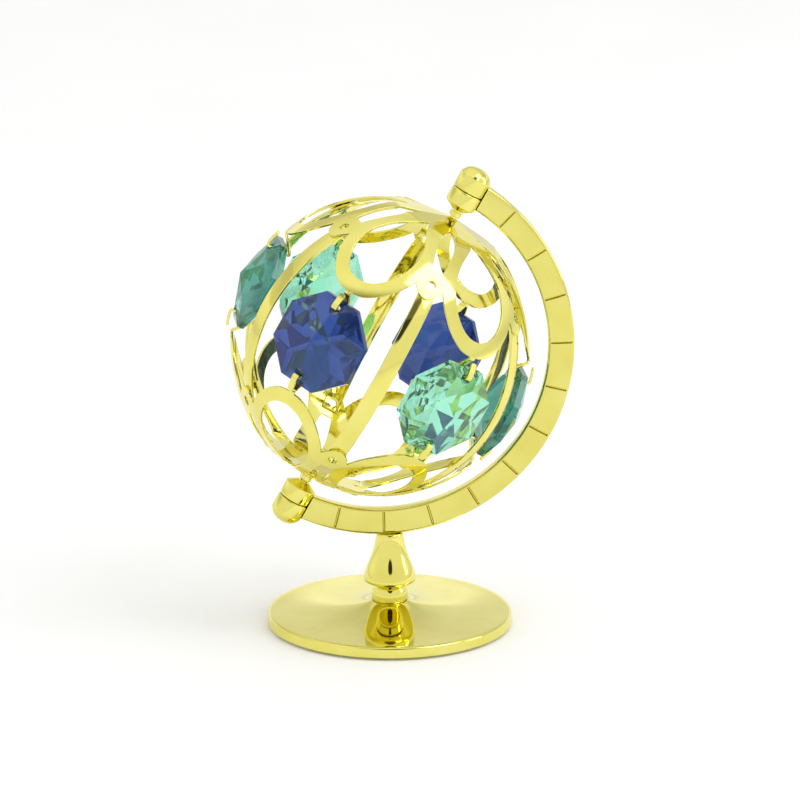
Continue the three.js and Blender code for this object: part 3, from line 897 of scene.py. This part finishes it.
# ---- studio ---------------------------------------------------------------------------------------
def paper_floor():
    take_up(None)
    bpy.ops.mesh.primitive_plane_add(size=6.0)
    floor = named("floor")
    white, nodes, links, shader, where = finish_nodes("white paper")
    shader.inputs["Roughness"].default_value = 0.9
    shader.inputs["Specular IOR Level"].default_value = 0.1
    shader.inputs["Emission Strength"].default_value = 0.06
    shades = [(0.3, (0.96, 0.96, 0.96)), (0.7, (0.98, 0.98, 0.98))]
    links.new(ramp(nodes, links, noise(nodes, links, where, 30.0), shades), shader.inputs["Base Color"])
    floor.data.materials.append(white)


world = bpy.data.worlds.new("studio")
bpy.context.scene.world = world
world.use_nodes = True
sky, sky_links = world.node_tree.nodes, world.node_tree.links

# Which sockets of a Mix node are its two colours and its result.
MIX_FIRST, MIX_SECOND, MIX_RESULT = 6, 7, 2

# The tent's grey by the height of the direction looked in, from level to straight up.
TENT_TONES = ((0.0, 0.8), (0.04, 0.85), (0.1, 1.0), (0.27, 1.12), (0.3, 0.86), (0.37, 0.8),
              (0.48, 0.68), (0.6, 0.7), (0.8, 0.85), (1.0, 0.95))
TENT_FRONT = (0.97, 0.97, 0.96)

# The tent is open in front, a dark upright gap that widens towards the top.
GAP_LOW, GAP_HIGH, GAP_SPREAD, GAP_POINT = 0.37, 0.8, 0.95, 0.25
GAP_COLOUR = (0.05, 0.045, 0.04)


def sky_math(operation, first, second=0.5):
    node = sky.new("ShaderNodeMath")
    node.operation = operation
    for socket, value in zip(node.inputs, (first, second)):
        if isinstance(value, float):
            socket.default_value = value
        else:
            sky_links.new(value, socket)
    return node.outputs["Value"]


def sky_step(value, start, end):
    node = sky.new("ShaderNodeMapRange")
    node.interpolation_type = "SMOOTHSTEP"
    node.inputs["From Min"].default_value = start
    node.inputs["From Max"].default_value = end
    sky_links.new(value, node.inputs["Value"])
    return node.outputs["Result"]


def sky_mix(amount, first, second):
    node = sky.new("ShaderNodeMix")
    node.data_type = "RGBA"
    sky_links.new(amount, node.inputs["Factor"])
    for socket, colour in ((node.inputs[MIX_FIRST], first), (node.inputs[MIX_SECOND], second)):
        if isinstance(colour, tuple):
            socket.default_value = (*colour, 1)
        else:
            sky_links.new(colour, socket)
    return node.outputs[MIX_RESULT]


def light_tent():
    """A pale tent all round, evenly lit in front and banded behind, with a dark gap in front."""
    split = sky.new("ShaderNodeSeparateXYZ")
    sky_links.new(sky.new("ShaderNodeTexCoord").outputs["Generated"], split.inputs["Vector"])
    sideways, forwards, height = (split.outputs[axis] for axis in ("X", "Y", "Z"))
    behind = ramp(sky, sky_links, height, [(at, (tone, tone, tone)) for at, tone in TENT_TONES])
    tent = sky_mix(sky_step(forwards, -0.25, 0.25), TENT_FRONT, behind)
    half_width = sky_math("MULTIPLY", sky_math("SUBTRACT", height, GAP_POINT), GAP_SPREAD)
    past_edge = sky_math("SUBTRACT", sky_math("ABSOLUTE", sideways), half_width)
    inside = sky_step(past_edge, 0.03, -0.03)
    in_front = sky_step(sky_math("MULTIPLY", forwards, -1.0), 0.1, 0.2)
    above = sky_step(height, GAP_LOW - 0.05, GAP_LOW + 0.03)
    below = sky_step(height, GAP_HIGH + 0.06, GAP_HIGH - 0.04)
    across, upright = sky_math("MULTIPLY", inside, in_front), sky_math("MULTIPLY", above, below)
    gap = sky_math("MULTIPLY", across, upright)
    background = sky["Background"]
    background.inputs["Strength"].default_value = 1.0
    sky_links.new(sky_mix(gap, tent, GAP_COLOUR), background.inputs["Color"])


def soft_light(name, place, aim, size, power):
    light = bpy.data.lights.new(name, "AREA")
    light.shape = "RECTANGLE"
    light.size, light.size_y = size
    light.energy = power
    lamp = bpy.data.objects.new(name, light)
    bpy.context.scene.collection.objects.link(lamp)
    lamp.location = place
    lamp.rotation_mode = "QUATERNION"
    lamp.rotation_quaternion = (Vector(aim) - Vector(place)).to_track_quat("-Z", "Y")


# The camera looks a little down on the ornament, from just left of straight in front.
CAMERA_AZIMUTH = math.radians(-3.2)
CAMERA_HEIGHT = math.radians(15.5)
CAMERA_DISTANCE = 0.7
CAMERA_LENS = 208.9
AIM_RIGHT, AIM_UP = 0.00157, 0.0352


def studio_camera():
    back = Vector((math.sin(CAMERA_AZIMUTH) * math.cos(CAMERA_HEIGHT),
                   -math.cos(CAMERA_AZIMUTH) * math.cos(CAMERA_HEIGHT), math.sin(CAMERA_HEIGHT)))
    right = Vector((math.cos(CAMERA_AZIMUTH), math.sin(CAMERA_AZIMUTH), 0))
    lens = bpy.data.cameras.new("camera")
    lens.sensor_width = 36.0
    lens.lens = CAMERA_LENS
    lens.clip_start = 0.01
    camera = bpy.data.objects.new("camera", lens)
    bpy.context.scene.collection.objects.link(camera)
    camera.location = right * AIM_RIGHT + Vector((0, 0, AIM_UP)) + back * CAMERA_DISTANCE
    camera.rotation_mode = "QUATERNION"
    camera.rotation_quaternion = (-back).to_track_quat("-Z", "Y")
    bpy.context.scene.camera = camera


paper_floor()
light_tent()
soft_light("key", (0.37, -0.21, 0.55), (0, 0, 0.05), (0.32, 0.32), 0.9)
soft_light("side", (0.6, -0.05, 0.25), (0, 0, 0.03), (0.16, 0.3), 0.35)
soft_light("overhead", (0, 0, 1.1), (0, 0, 0), (2.6, 2.6), 2.5)
studio_camera()
bpy.context.scene.view_settings.view_transform = "Standard"

take_up(None)
